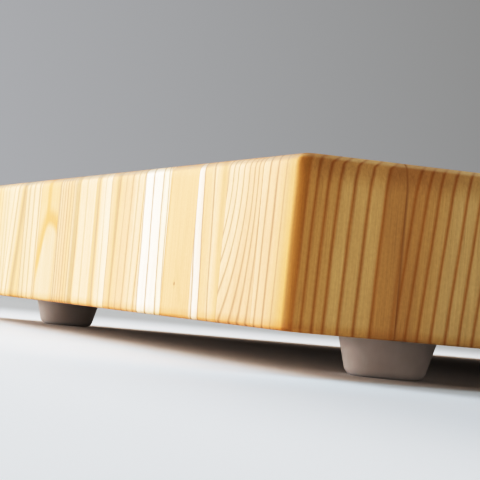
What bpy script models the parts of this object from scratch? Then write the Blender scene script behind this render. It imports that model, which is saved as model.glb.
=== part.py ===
"""Butcher block cutting board: upright end-grain pine blocks glued into a slab, on four screwed-on rubber feet.

Metres, +Z up. The origin is on the floor under the middle of the board. X runs along the board, and -Y is its front.
"""

import math

import bmesh
import bpy

# Board
LENGTH = 0.400
WIDTH = 0.300
THICKNESS = 0.0404
CORNER_RADIUS = 0.0055  # upright corners of the slab
# The sides lean in towards the cutting surface on an arc, and a tighter arc rounds its edge: both radii, and the lean in degrees where they meet
SIDE_SHOULDER = (0.0100, 0.0026, 8.0)  # front and back
END_SHOULDER = (0.0160, 0.0026, 24.0)  # right and left, sanded rounder
BOTTOM_RADIUS = 0.0010  # edge round the underside
GLUE_LINE = 0.0001  # gap between neighbouring blocks

# Rows of blocks, from the right-hand end (+X) to the left: the row's width, then the joints across it, from the front
ROWS = (
    (0.0255, (0.0256, 0.158)),
    (0.0250, (0.104, 0.203)),
    (0.0225, (0.076, 0.181)),
    (0.0237, (0.121, 0.226)),
    (0.0243, (0.092, 0.196)),
    (0.0260, (0.143,)),
    (0.0240, (0.068, 0.172)),
    (0.0230, (0.112, 0.217)),
    (0.0210, (0.084, 0.188)),
    (0.0250, (0.126, 0.232)),
    (0.0230, (0.154,)),
    (0.0240, (0.098, 0.204)),
    (0.0215, (0.072, 0.178)),
    (0.0200, (0.136,)),
    (0.0210, (0.108, 0.214)),
    (0.0255, (0.080, 0.186)),
    (0.0250, (0.118, 0.224)),
)

# Feet
FOOT_HEIGHT = 0.0098
FOOT_TOP_RADIUS = 0.0122
FOOT_BOTTOM_RADIUS = 0.0098
FOOT_EDGE_RADIUS = 0.0026  # round the tread
FOOT_INSET = 0.0433  # of a foot's axis, from both sides of the board
POCKET_RADIUS = 0.0050  # recess in the tread for the screw's head
POCKET_DEPTH = 0.0052
FOOT_HOLE_RADIUS = 0.0024

# Washer and screw
WASHER_RADIUS = 0.0045
WASHER_HOLE_RADIUS = 0.00225
WASHER_THICKNESS = 0.0010
SCREW_RADIUS = 0.0019
SCREW_HEAD_RADIUS = 0.0038
SCREW_HEAD_HEIGHT = 0.0024
SCREW_IN_WOOD = 0.0180
SCREW_TIP = 0.0040
RECESS_ARM = 0.0021
RECESS_WIDTH = 0.0009
RECESS_DEPTH = 0.0015
PILOT_CLEARANCE = 0.0002

SEAT_GAP = 0.0001  # between pieces that bear on each other

UNDERSIDE = FOOT_HEIGHT + SEAT_GAP
TOP = UNDERSIDE + THICKNESS


def clear_scene():
    for old in list(bpy.data.objects):
        bpy.data.objects.remove(old, do_unlink=True)


def finish_of(name, colour, roughness, metallic=0.0):
    """A material of its own for one piece."""
    material = bpy.data.materials.new(name)
    material.use_nodes = True
    shader = material.node_tree.nodes["Principled BSDF"]
    shader.inputs["Base Color"].default_value = (*colour, 1.0)
    shader.inputs["Roughness"].default_value = roughness
    shader.inputs["Metallic"].default_value = metallic
    return material


def add_object(name, bm, material=None, parent=None, location=(0.0, 0.0, 0.0)):
    mesh = bpy.data.meshes.new(name)
    bm.to_mesh(mesh)
    bm.free()
    made = bpy.data.objects.new(name, mesh)
    bpy.context.scene.collection.objects.link(made)
    made.location = location
    if parent:
        made.parent = parent
    if material:
        mesh.materials.append(material)
    return made


def smooth(made, degrees=40.0):
    made.data.shade_smooth()
    made.data.set_sharp_from_angle(angle=math.radians(degrees))


def cut(made, cutter):
    cutter.hide_render = True
    cutter.display_type = "WIRE"
    hole = made.modifiers.new("cut_" + cutter.name, "BOOLEAN")
    hole.operation = "DIFFERENCE"
    hole.solver = "EXACT"
    hole.object = cutter


def lathe(profile, steps):
    """A closed body turned about Z from (radius, height) points. A profile that leaves the axis starts and ends on it; any other is a closed ring."""
    bm = bmesh.new()
    points = [bm.verts.new((r, 0.0, z)) for r, z in profile]
    edges = [bm.edges.new(pair) for pair in zip(points, points[1:])]
    if profile[0][0] > 0.0:
        edges.append(bm.edges.new((points[-1], points[0])))
    bmesh.ops.spin(
        bm, geom=points + edges, cent=(0, 0, 0), axis=(0, 0, 1), angle=2 * math.pi, steps=steps, use_merge=True
    )
    bmesh.ops.remove_doubles(bm, verts=bm.verts, dist=1e-6)
    bmesh.ops.dissolve_degenerate(bm, dist=1e-7, edges=bm.edges)
    bmesh.ops.recalc_face_normals(bm, faces=bm.faces)
    return bm


def arc(centre, radius, start, end, steps):
    """Points of a rounded edge in a turned profile, angles in degrees."""
    for i in range(steps + 1):
        a = math.radians(start + (end - start) * i / steps)
        yield centre[0] + radius * math.cos(a), centre[1] + radius * math.sin(a)


def shoulder_arcs(shoulder):
    """Height where a side starts to lean in, height where the tighter arc takes over, and the inset of the cutting surface."""
    radius, edge, lean = shoulder[0], shoulder[1], math.radians(shoulder[2])
    start = TOP - edge - (radius - edge) * math.sin(lean)
    return start, start + radius * math.sin(lean), radius - (radius - edge) * math.cos(lean)


def lean_in(height, shoulder):
    """How far a side stands in from the board's outline at a height."""
    radius, edge, _ = shoulder
    start, meet, inner = shoulder_arcs(shoulder)
    if height < UNDERSIDE + BOTTOM_RADIUS:
        return BOTTOM_RADIUS - math.sqrt(max(BOTTOM_RADIUS**2 - (UNDERSIDE + BOTTOM_RADIUS - height) ** 2, 0.0))
    if height <= start:
        return 0.0
    if height <= meet:
        return radius - math.sqrt(radius**2 - (height - start) ** 2)
    return inner - math.sqrt(max(edge**2 - (height - TOP + edge) ** 2, 0.0))


def edge_levels():
    """Heights up the outside of the slab: round the edge of the underside, the start of each shoulder, and over both shoulders."""
    levels = [height for _, height in arc((0.0, UNDERSIDE + BOTTOM_RADIUS), BOTTOM_RADIUS, 270.0, 180.0, 3)]
    for shoulder, steps in ((END_SHOULDER, 4), (SIDE_SHOULDER, 3)):
        radius, edge, lean = shoulder
        start = shoulder_arcs(shoulder)[0]
        levels += [height for _, height in arc((0.0, start), radius, 0.0, lean, steps)]
        levels += [height for _, height in arc((0.0, TOP - edge), edge, lean, 90.0, steps)]
    kept = []
    for height in sorted(levels):
        if not kept or height - kept[-1] > 0.00012:
            kept.append(height)
    kept[-1] = TOP
    return kept


def plan(x0, x1, y0, y1, outer, height):
    """Outline of a block at one height, anticlockwise from above. Sides on the outside of the slab lean in, and a corner of the slab is rounded."""
    along, across = lean_in(height, END_SHOULDER), lean_in(height, SIDE_SHOULDER)
    x0 += along if "-x" in outer else 0.0
    x1 -= along if "+x" in outer else 0.0
    y0 += across if "-y" in outer else 0.0
    y1 -= across if "+y" in outer else 0.0
    for x, y, sides, start in (
        (x0, y0, {"-x", "-y"}, 180.0),
        (x1, y0, {"+x", "-y"}, 270.0),
        (x1, y1, {"+x", "+y"}, 0.0),
        (x0, y1, {"-x", "+y"}, 90.0),
    ):
        if sides <= outer:
            wide, deep = CORNER_RADIUS - along, CORNER_RADIUS - across
            cx, cy = x + (wide if "-x" in sides else -wide), y + (deep if "-y" in sides else -deep)
            for c, s in arc((0.0, 0.0), 1.0, start, start + 90.0, 8):
                yield cx + wide * c, cy + deep * s
        else:
            yield x, y


def block_mesh(x0, x1, y0, y1, outer):
    """One upright block. outer holds the sides, such as "+x", that lie on the outside of the slab: those edges are rounded, and the glued ones stay square."""
    bm = bmesh.new()
    levels = edge_levels() if outer else [UNDERSIDE, TOP]
    rings = [[bm.verts.new((x, y, height)) for x, y in plan(x0, x1, y0, y1, outer, height)] for height in levels]
    for lower, upper in zip(rings, rings[1:]):
        for a, b, c, d in zip(lower, lower[1:] + lower[:1], upper[1:] + upper[:1], upper):
            bm.faces.new((a, b, c, d))
    bm.faces.new(rings[0][::-1])
    bm.faces.new(rings[-1])
    bmesh.ops.recalc_face_normals(bm, faces=bm.faces)
    return bm


def tone(index):
    """A pine tone that wanders a little from block to block."""
    shade = 0.5 + 0.5 * math.sin(2.4 * index)
    return (0.72 - 0.10 * shade, 0.46 - 0.09 * shade, 0.19 - 0.05 * shade)


def build_board(parent):
    """The slab's blocks, by name, with the plan of each."""
    blocks = {}
    right = LENGTH / 2
    for number, (row_width, joints) in enumerate(ROWS, start=1):
        left = right - row_width
        if number == len(ROWS):
            left = -LENGTH / 2
        cuts = (0.0, *joints, WIDTH)
        places = ("front", "middle", "back") if len(joints) == 2 else ("front", "back")
        for place, near, far in zip(places, cuts, cuts[1:]):
            outer = set()
            if number == 1:
                outer.add("+x")
            if number == len(ROWS):
                outer.add("-x")
            if place == "front":
                outer.add("-y")
            if place == "back":
                outer.add("+y")
            half = GLUE_LINE / 2
            x0 = left + (0.0 if "-x" in outer else half)
            x1 = right - (0.0 if "+x" in outer else half)
            y0 = -WIDTH / 2 + near + (0.0 if "-y" in outer else half)
            y1 = -WIDTH / 2 + far - (0.0 if "+y" in outer else half)
            name = f"block_row{number:02d}_{place}"
            made = add_object(
                name,
                block_mesh(x0, x1, y0, y1, outer),
                finish_of(name, tone(len(blocks)), 0.42),
                parent,
            )
            smooth(made, 35.0)
            blocks[name] = (made, x0, x1, y0, y1)
        right = left
    return blocks


def foot_profile():
    """Outside from the top down, round the tread, then up the pocket and the screw hole."""
    slope = math.atan2(FOOT_TOP_RADIUS - FOOT_BOTTOM_RADIUS, FOOT_HEIGHT)
    # the rounding touches the tread and the tapered side
    centre_z = FOOT_EDGE_RADIUS
    side_r = FOOT_BOTTOM_RADIUS + centre_z * math.tan(slope)
    centre = (side_r - FOOT_EDGE_RADIUS / math.cos(slope), centre_z)
    yield FOOT_TOP_RADIUS - 0.0003, FOOT_HEIGHT
    yield FOOT_TOP_RADIUS, FOOT_HEIGHT - 0.0004
    yield from arc(centre, FOOT_EDGE_RADIUS, -math.degrees(slope), -90.0, 6)
    yield POCKET_RADIUS + 0.0004, 0.0
    yield POCKET_RADIUS, 0.0004
    yield POCKET_RADIUS, POCKET_DEPTH
    yield FOOT_HOLE_RADIUS, POCKET_DEPTH
    yield FOOT_HOLE_RADIUS, FOOT_HEIGHT


def washer_profile():
    low = POCKET_DEPTH - SEAT_GAP - WASHER_THICKNESS
    high = POCKET_DEPTH - SEAT_GAP
    edge = 0.00015
    return (
        (WASHER_RADIUS - edge, high),
        (WASHER_RADIUS, high - edge),
        (WASHER_RADIUS, low + edge),
        (WASHER_RADIUS - edge, low),
        (WASHER_HOLE_RADIUS, low),
        (WASHER_HOLE_RADIUS, high),
    )


def screw_profile():
    """From the point in the wood down to the domed head."""
    seat = POCKET_DEPTH - 2 * SEAT_GAP - WASHER_THICKNESS
    low = seat - SCREW_HEAD_HEIGHT
    point = UNDERSIDE + SCREW_IN_WOOD
    yield 0.0, point
    yield SCREW_RADIUS * 0.55, point - SCREW_TIP * 0.55
    yield SCREW_RADIUS, point - SCREW_TIP
    yield SCREW_RADIUS, seat
    yield SCREW_HEAD_RADIUS - 0.0001, seat
    yield SCREW_HEAD_RADIUS, seat - 0.0004
    yield SCREW_HEAD_RADIUS, seat - 0.0009
    yield SCREW_HEAD_RADIUS * 0.90, seat - 0.0017
    yield SCREW_HEAD_RADIUS * 0.70, low + 0.0002
    yield SCREW_HEAD_RADIUS * 0.45, low
    yield 0.0, low


def recess_mesh():
    """A cross recess, pointing up into the head from below."""
    arm, half = RECESS_ARM, RECESS_WIDTH / 2
    plan = []
    for turn in range(4):
        c, s = math.cos(turn * math.pi / 2), math.sin(turn * math.pi / 2)
        for x, y in ((half, half), (arm, half), (arm, -half)):
            plan.append((x * c - y * s, x * s + y * c))
    # each arm's corners run anticlockwise round the cross
    plan = sorted(plan, key=lambda p: math.atan2(p[1], p[0]))
    seat = POCKET_DEPTH - 2 * SEAT_GAP - WASHER_THICKNESS
    low = seat - SCREW_HEAD_HEIGHT
    bm = bmesh.new()
    base = bm.faces.new([bm.verts.new((x, y, low - 0.0010)) for x, y in plan])
    up = bmesh.ops.extrude_face_region(bm, geom=[base])["geom"]
    for v in (g for g in up if isinstance(g, bmesh.types.BMVert)):
        v.co.x *= 0.62
        v.co.y *= 0.62
        v.co.z = low + RECESS_DEPTH
    bmesh.ops.recalc_face_normals(bm, faces=bm.faces)
    return bm


def pilot_profile():
    """The hole in the wood that the screw sits in, open at the underside."""
    r = SCREW_RADIUS + PILOT_CLEARANCE
    point = UNDERSIDE + SCREW_IN_WOOD + PILOT_CLEARANCE
    return (
        (0.0, point + 0.0003),
        (r * 0.58, point - SCREW_TIP * 0.55 + 0.0003),
        (r, point - SCREW_TIP + 0.0003),
        (r, UNDERSIDE - 0.0020),
        (0.0, UNDERSIDE - 0.0020),
    )


def build_feet(parent, blocks):
    x, y = LENGTH / 2 - FOOT_INSET, WIDTH / 2 - FOOT_INSET
    for corner, at in (
        ("front_right", (x, -y)),
        ("front_left", (-x, -y)),
        ("rear_right", (x, y)),
        ("rear_left", (-x, y)),
    ):
        axis = bpy.data.objects.new("axis_foot_" + corner, None)
        bpy.context.scene.collection.objects.link(axis)
        axis.location = (at[0], at[1], 0.0)
        axis.parent = parent

        foot = add_object(
            "foot_" + corner,
            lathe(list(foot_profile()), 48),
            finish_of("foot_" + corner, (0.30, 0.265, 0.25), 0.55),
            axis,
        )
        smooth(foot, 35.0)

        washer = add_object(
            "washer_" + corner,
            lathe(washer_profile(), 32),
            finish_of("washer_" + corner, (0.62, 0.62, 0.61), 0.32, 1.0),
            axis,
        )
        smooth(washer, 35.0)

        screw = add_object(
            "screw_" + corner,
            lathe(list(screw_profile()), 24),
            finish_of("screw_" + corner, (0.60, 0.60, 0.60), 0.28, 1.0),
            axis,
        )
        smooth(screw, 40.0)
        cut(screw, add_object("recess_" + corner, recess_mesh(), parent=axis))

        pilot = add_object("pilot_" + corner, lathe(pilot_profile(), 24), parent=axis)
        for block, x0, x1, y0, y1 in blocks.values():
            if x0 < at[0] < x1 and y0 < at[1] < y1:
                cut(block, pilot)


def main():
    clear_scene()
    board = bpy.data.objects.new("cutting_board", None)
    bpy.context.scene.collection.objects.link(board)
    build_feet(board, build_board(board))


main()
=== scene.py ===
"""Butcher block cutting board: the finished look of the end-grain pine slab, its rubber feet and its fastenings.

Metres, +Z up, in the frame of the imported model. X runs along the board and -Y is its front.
"""

import math
import random

import bmesh
import bpy
from mathutils import Matrix, Vector


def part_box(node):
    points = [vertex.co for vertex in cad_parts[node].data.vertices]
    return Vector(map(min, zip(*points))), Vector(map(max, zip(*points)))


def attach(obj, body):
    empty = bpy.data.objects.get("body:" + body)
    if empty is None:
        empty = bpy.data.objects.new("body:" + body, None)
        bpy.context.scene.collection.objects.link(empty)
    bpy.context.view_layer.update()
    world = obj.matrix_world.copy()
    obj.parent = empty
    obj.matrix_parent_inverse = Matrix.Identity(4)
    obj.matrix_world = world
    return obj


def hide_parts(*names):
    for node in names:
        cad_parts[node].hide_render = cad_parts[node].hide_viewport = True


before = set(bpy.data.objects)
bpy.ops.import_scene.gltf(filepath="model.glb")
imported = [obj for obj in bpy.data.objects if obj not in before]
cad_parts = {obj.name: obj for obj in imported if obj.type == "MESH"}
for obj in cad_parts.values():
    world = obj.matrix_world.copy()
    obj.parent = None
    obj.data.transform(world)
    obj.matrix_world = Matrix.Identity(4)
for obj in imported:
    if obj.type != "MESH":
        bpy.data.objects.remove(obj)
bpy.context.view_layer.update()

# ---------------------------------------------------------------- sizes, metres
LENGTH, WIDTH, THICKNESS = 0.400, 0.300, 0.0404
CORNER_RADIUS, BOTTOM_RADIUS = 0.0055, 0.0010
# radius of the arc on which a side leans in, radius of the edge round the cutting surface, and the lean in degrees where they meet
SIDE_SHOULDER, END_SHOULDER = (0.0100, 0.0026, 8.0), (0.0160, 0.0026, 24.0)
UNDERSIDE = 0.0099
TOP = UNDERSIDE + THICKNESS
GLUE_GAP = 0.00002
FOOT_HEIGHT, FOOT_TOP_RADIUS, FOOT_BOTTOM_RADIUS, FOOT_EDGE_RADIUS = 0.0098, 0.0122, 0.0098, 0.0026
POCKET_RADIUS, POCKET_DEPTH, FOOT_HOLE_RADIUS = 0.0050, 0.0052, 0.0024
WASHER_RADIUS, WASHER_HOLE_RADIUS, WASHER_THICKNESS = 0.0045, 0.00225, 0.0010
SCREW_RADIUS, SCREW_HEAD_RADIUS, SCREW_HEAD_HEIGHT, SCREW_IN_WOOD, SCREW_TIP = 0.0019, 0.0038, 0.0024, 0.0180, 0.0040
PILOT_CLEARANCE, SEAT_GAP = 0.0002, 0.0001

# Linear colours of the timber: summer wood, then spring wood from dark to pale
LATE = (0.43, 0.180, 0.034)
LATE_PALE = (0.36, 0.205, 0.095)
CORNER = (0.45, 0.215, 0.045)
TAN = (0.52, 0.31, 0.14)
BROWN = (0.56, 0.325, 0.12)
GOLD = (0.58, 0.335, 0.115)
PALE_GOLD = (0.67, 0.45, 0.20)
DULL_GOLD = (0.638, 0.447, 0.207)
HONEY = (0.70, 0.38, 0.165)
ORANGE = (0.72, 0.34, 0.10)
FLAME = (0.68, 0.30, 0.085)
AMBER = (0.79, 0.42, 0.195)
STRAW = (0.75, 0.48, 0.275)
PEACH = (0.82, 0.445, 0.235)
CREAM = (0.87, 0.53, 0.31)
WHITE = (0.92, 0.71, 0.50)
SNOW = (0.93, 0.79, 0.67)


def blended(a, b, t):
    return tuple(p + (q - p) * t for p, q in zip(a, b))


# ---------------------------------------------------------------- node helpers
class Graph:
    """Short ways to write a node network."""

    def __init__(self, name):
        self.material = bpy.data.materials.new(name)
        self.material.use_nodes = True
        self.tree = self.material.node_tree
        self.tree.nodes.clear()
        self.shader = self.add("ShaderNodeBsdfPrincipled")
        out = self.add("ShaderNodeOutputMaterial")
        self.tree.links.new(self.shader.outputs[0], out.inputs[0])

    def add(self, kind, **values):
        made = self.tree.nodes.new(kind)
        for key, value in values.items():
            setattr(made, key, value)
        return made

    def put(self, socket, value):
        if isinstance(value, bpy.types.NodeSocket):
            self.tree.links.new(value, socket)
        elif value is not None:
            if socket.type == "RGBA" and len(value) == 3:
                value = (*value, 1.0)
            socket.default_value = value

    def set(self, name, value):
        self.put(self.shader.inputs[name], value)

    def math(self, operation, a, b=None, c=None, clamp=False):
        made = self.add("ShaderNodeMath", operation=operation, use_clamp=clamp)
        for socket, value in zip(made.inputs, (a, b, c)):
            self.put(socket, value)
        return made.outputs[0]

    def vec(self, operation, a, b=None, scale=None):
        made = self.add("ShaderNodeVectorMath", operation=operation)
        self.put(made.inputs[0], a)
        if b is not None:
            self.put(made.inputs[1], b)
        if scale is not None:
            self.put(made.inputs["Scale"], scale)
        return made.outputs["Value" if operation in ("LENGTH", "DOT_PRODUCT", "DISTANCE") else "Vector"]

    def split(self, vector):
        made = self.add("ShaderNodeSeparateXYZ")
        self.put(made.inputs[0], vector)
        return made.outputs

    def join(self, x, y, z):
        made = self.add("ShaderNodeCombineXYZ")
        for socket, value in zip(made.inputs, (x, y, z)):
            self.put(socket, value)
        return made.outputs[0]

    def noise(self, vector, scale=1.0, detail=2.0, roughness=0.5, distortion=0.0):
        made = self.add("ShaderNodeTexNoise", noise_dimensions="3D")
        self.put(made.inputs["Vector"], vector)
        self.put(made.inputs["Scale"], scale)
        self.put(made.inputs["Detail"], detail)
        self.put(made.inputs["Roughness"], roughness)
        self.put(made.inputs["Distortion"], distortion)
        return made.outputs["Fac"]

    def span(self, value, low, high, out_low=0.0, out_high=1.0, smooth=True):
        made = self.add("ShaderNodeMapRange", clamp=True, interpolation_type="SMOOTHSTEP" if smooth else "LINEAR")
        for name, item in (
            ("Value", value),
            ("From Min", low),
            ("From Max", high),
            ("To Min", out_low),
            ("To Max", out_high),
        ):
            self.put(made.inputs[name], item)
        return made.outputs[0]

    def mix(self, amount, a, b, blend="MIX"):
        made = self.add("ShaderNodeMix", data_type="RGBA", blend_type=blend, clamp_factor=True)
        self.put(made.inputs[0], amount)
        self.put(made.inputs[6], a)
        self.put(made.inputs[7], b)
        return made.outputs[2]

    def ramp(self, amount, stops, interpolation="LINEAR"):
        made = self.add("ShaderNodeValToRGB")
        made.color_ramp.interpolation = interpolation
        elements = made.color_ramp.elements
        stops = sorted(stops, key=lambda s: s[0])
        while len(elements) < len(stops):
            elements.new(1.0)
        for element, (position, colour) in zip(elements, stops):
            element.position = min(max(position, 0.0), 1.0)
            element.color = (*colour, 1.0) if len(colour) == 3 else colour
        self.put(made.inputs[0], amount)
        return made.outputs["Color"]

    def bump(self, height, strength, distance, normal=None):
        made = self.add("ShaderNodeBump")
        self.put(made.inputs["Strength"], strength)
        self.put(made.inputs["Distance"], distance)
        self.put(made.inputs["Height"], height)
        if normal is not None:
            self.put(made.inputs["Normal"], normal)
        return made.outputs[0]


# ---------------------------------------------------------------- growth rings
def ring_stops(low, high, tones, lines, late=LATE):
    """Stops of a colour band from low to high. tones are (place, colour) of the wood between the rings, lines are (place, half width, depth) of the dark summer wood."""
    tones = sorted(tones)

    def base(at):
        if at <= tones[0][0]:
            return tones[0][1]
        for (a, first), (b, second) in zip(tones, tones[1:]):
            if at <= b:
                return blended(first, second, (at - a) / (b - a))
        return tones[-1][1]

    stops = [(low, base(low)), (high, base(high))]
    for at, half, depth in lines:
        stops += [
            (at - 1.9 * half, base(at - 1.9 * half)),
            (at - 0.25 * half, blended(base(at), late, depth)),
            (at + half, base(at + half)),
        ]
    for at, colour in tones:
        if low < at < high and all(abs(at - line) > 1.9 * half for line, half, _ in lines):
            stops.append((at, colour))
    size = high - low
    stops = sorted((((at - low) / size), colour) for at, colour in stops if low <= at <= high)
    return stops[:32]


def random_rings(rng, span):
    """Tones and lines of a stretch of rings that the pith's distance runs through."""
    early = rng.choice((STRAW, PALE_GOLD, AMBER, PEACH, CREAM, HONEY))
    other = blended(early, rng.choice((GOLD, HONEY, CREAM)), rng.uniform(0.2, 0.6))
    tones = [(0.0, early), (span * rng.uniform(0.3, 0.7), other), (span, blended(early, HONEY, 0.5))]
    lines, at = [], rng.uniform(0.8, 2.5)
    width = rng.uniform(2.4, 4.4)
    while at < span and len(lines) < 9:
        lines.append((at, rng.uniform(0.42, 0.75), rng.uniform(0.45, 0.85)))
        at += width * rng.uniform(0.65, 1.4)
    return tones, lines


# ---------------------------------------------------------------- pine
def pine(name, low, high, glued, spec):
    """The oiled pine of one block, whose box runs from low to high; low and high are not used. Distances in the network
    are in millimetres: u runs from the right-hand end, v from the front, z from the underside.
    """
    rng = random.Random("pine " + name)
    g = Graph("pine_" + name)
    place = g.vec("SCALE", g.add("ShaderNodeTexCoord").outputs["Object"], scale=1000.0)
    x, y, z_up = g.split(place)
    u = g.math("SUBTRACT", LENGTH * 500, x)
    v = g.math("ADD", y, WIDTH * 500)
    z = g.math("SUBTRACT", z_up, UNDERSIDE * 1000)

    # slow wander of the rings up the block, and a fine tremble
    seat = g.vec("ADD", place, (rng.uniform(-400, 400), rng.uniform(-400, 400), rng.uniform(-400, 400)))
    slow = g.noise(g.vec("MULTIPLY", seat, (0.045, 0.045, 0.030)), detail=1.0)
    fine = g.noise(g.vec("MULTIPLY", seat, (0.30, 0.30, 0.085)), detail=2.0)
    wander = g.math(
        "ADD",
        g.math("MULTIPLY", g.math("SUBTRACT", slow, 0.5), spec.get("wander", 1.6)),
        g.math("MULTIPLY", g.math("SUBTRACT", fine, 0.5), spec.get("tremble", 0.34)),
    )
    lean_u, lean_v = spec.get("lean", (0.0, 0.0))
    level = g.math("SUBTRACT", z, 20.0)
    ul = g.math("MULTIPLY_ADD", level, -lean_u, u)
    vl = g.math("MULTIPLY_ADD", level, -lean_v, v)
    curl = spec.get("curl", 0.0)
    if curl:
        # the rings slope back from the end, which shows where its shoulder leans in
        lower, upper = g.span(z, 32.4, 38.6), g.span(z, 38.4, 40.6)
        back = g.math("MULTIPLY_ADD", g.math("MULTIPLY", lower, lower), 0.4, g.math("MULTIPLY", upper, 3.4))
        back = g.math("MULTIPLY", back, g.span(v, 4.0, 9.5, 0.22, 1.0))
        vl = g.math("MULTIPLY_ADD", back, -curl, vl)

    kind = spec["kind"]
    if kind == "rings":
        up, vp = spec["pith"]
        across = g.join(g.math("SUBTRACT", ul, up), g.math("SUBTRACT", vl, vp), 0.0)
        distance = g.math("ADD", g.vec("LENGTH", across), wander)

        def reach(at):
            pu, pv = at
            return math.hypot(pu - up, pv - vp)

    elif kind == "slant":
        # straight rings, diagonal in plan
        a, b = spec["slope"]
        distance = g.math(
            "ADD", g.math("ADD", g.math("MULTIPLY", ul, a), g.math("MULTIPLY", vl, b)), wander
        )

        def reach(at):
            return at[0] * a + at[1] * b

    elif kind == "fan":
        # rings that sweep away from the upright towards the underside
        drop = g.math("MAXIMUM", g.math("SUBTRACT", 36.0, z), 0.0)
        square = g.math("MULTIPLY", drop, drop)
        top_place = g.math(
            "DIVIDE",
            g.math("MULTIPLY_ADD", square, 0.0191, u),
            g.math("MULTIPLY_ADD", square, 0.00085, 1.0),
        )
        bow = g.math("MULTIPLY", g.math("MULTIPLY", g.math("SUBTRACT", v, 40.0), g.math("SUBTRACT", v, 40.0)), 0.0022)
        distance = g.math("ADD", g.math("ADD", top_place, wander), g.math("SUBTRACT", bow, 3.52))

        def reach(at):
            return at[0]

    low_d, high_d = spec["range"]
    t = g.math("DIVIDE", g.math("SUBTRACT", distance, low_d), high_d - low_d)
    t = g.math("PINGPONG", t, 1.0)
    bands = spec["bands"]
    colour = None
    for band in bands:
        start, end = band["span"]
        here = g.math("DIVIDE", g.math("SUBTRACT", distance, start), end - start) if len(bands) > 1 else t
        made = g.ramp(here, ring_stops(start, end, band["tones"], band["lines"], band.get("late", LATE)))
        colour = made if colour is None else g.mix(g.math("GREATER_THAN", distance, start), colour, made)

    for extra in spec.get("extras", ()):
        colour = extra(g, colour, u, v, z, wander)

    # fibres, long streaks and resin canals
    fibre = g.noise(g.vec("MULTIPLY", seat, (4.2, 4.2, 0.075)), detail=2.0, roughness=0.6)
    streak = g.noise(g.vec("MULTIPLY", seat, (0.75, 0.75, 0.022)), detail=2.0)
    cloud = g.noise(g.vec("MULTIPLY", seat, (0.06, 0.06, 0.035)), detail=2.0)
    shade = g.math("ADD", g.span(fibre, 0.25, 0.75, 0.925, 1.075, False), g.span(streak, 0.3, 0.7, -0.055, 0.055, False))
    shade = g.math("ADD", shade, g.span(cloud, 0.3, 0.7, -0.03, 0.03, False))
    mottle = g.noise(g.vec("MULTIPLY", seat, (1.7, 1.7, 1.1)), detail=2.0, roughness=0.6)
    shade = g.math("ADD", shade, g.span(mottle, 0.3, 0.7, -0.04, 0.04, False))
    colour = g.mix(1.0, colour, g.join(shade, g.math("POWER", shade, 1.2), g.math("POWER", shade, 1.5)), "MULTIPLY")
    canal = g.noise(g.vec("MULTIPLY", seat, (1.5, 1.5, 0.085)), detail=0.0)
    colour = g.mix(g.span(canal, 0.745, 0.82, 0.0, 0.20), colour, (0.36, 0.17, 0.05))

    # end grain drinks the oil, so it is deeper in tone than the upright faces
    facing = g.split(g.add("ShaderNodeNewGeometry").outputs["Normal"])
    end = g.span(g.math("ABSOLUTE", facing[2]), 0.68, 0.98)
    endwise = g.math("ABSOLUTE", facing[0])
    # painted shade: the sanded shoulders of the board's two ends are painted darker from 32 to 38.5 mm up, where they
    # tilt up away from the light
    end_shoulder_painted_shade = g.math("MULTIPLY", g.span(z, 32.0, 38.5), g.math("MULTIPLY", g.span(endwise, 0.35, 0.80), g.span(facing[2], 0.88, 0.50)))
    end_shoulder_painted_shade = g.math("MULTIPLY", end_shoulder_painted_shade, g.span(v, 1.0, 6.0, 0.1, 1.0))
    colour = g.mix(end_shoulder_painted_shade, colour, g.mix(1.0, colour, (0.78, 0.71, 0.62), "MULTIPLY"))
    patchy = g.noise(g.vec("MULTIPLY", place, (0.05, 0.05, 0.05)), detail=2.0)
    # the rounded top edge of the front and back is painted darker: partly the end grain's deeper tone, partly painted
    # shade
    rim = g.math("MULTIPLY", g.span(facing[2], 0.25, 0.70), g.math("MULTIPLY", g.span(facing[2], 0.985, 0.90), g.span(endwise, 0.30, 0.06)))
    colour = g.mix(g.math("MULTIPLY", rim, g.span(patchy, 0.35, 0.65, 0.45, 1.0)), colour, g.mix(1.0, colour, (0.69, 0.655, 0.585), "MULTIPLY"))
    pores = g.noise(g.vec("MULTIPLY", seat, (2.6, 2.6, 0.03)), detail=3.0, roughness=0.7)
    deep = g.mix(1.0, colour, (0.89, 0.79, 0.65), "MULTIPLY")
    deep = g.mix(g.span(pores, 0.5, 0.72, 0.0, 0.30), deep, (0.40, 0.20, 0.065))
    colour = g.mix(end, colour, deep)
    # painted sheen: the rim of the two ends is painted paler and greyer
    end_rim_painted_sheen = g.math("MULTIPLY", g.span(facing[2], 0.50, 0.85), g.span(endwise, 0.10, 0.34))
    colour = g.mix(g.math("MULTIPLY", end_rim_painted_sheen, g.span(patchy, 0.35, 0.65, 0.25, 0.46)), colour, (0.62, 0.54, 0.37))
    # painted shade: a darker grey over the same rounded top edge of the front and back, partly the end grain's deeper
    # tone
    colour = g.mix(g.math("MULTIPLY", rim, g.span(patchy, 0.35, 0.65, 0.35, 0.68)), colour, (0.40, 0.37, 0.295))

    # the sides are darker towards the underside over their lowest 3 mm, but the underside itself is left dry and pale
    darker_towards_underside = g.math("MULTIPLY", g.span(z, 3.2, 0.2), g.span(patchy, 0.30, 0.70, 0.75, 1.0))
    colour = g.mix(darker_towards_underside, colour, g.mix(1.0, colour, (0.84, 0.70, 0.50), "MULTIPLY"))
    colour = g.mix(g.span(facing[2], -0.93, -0.995, 0.0, 0.65), colour, WHITE)

    # the hairline of glue round the block
    nearest = None
    for axis, at in glued:
        gap = g.math("ABSOLUTE", g.math("SUBTRACT", (x, y)[axis], at * 1000))
        nearest = gap if nearest is None else g.math("MINIMUM", nearest, gap)
    if nearest is not None:
        colour = g.mix(g.span(nearest, 0.03, spec.get("seam", 0.24), spec.get("glue", 0.40), 0.0), colour, (0.34, 0.15, 0.04))
    colour = g.mix(1.0, colour, (0.985, 0.968, 0.945), "MULTIPLY")
    g.set("Base Color", colour)

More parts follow.
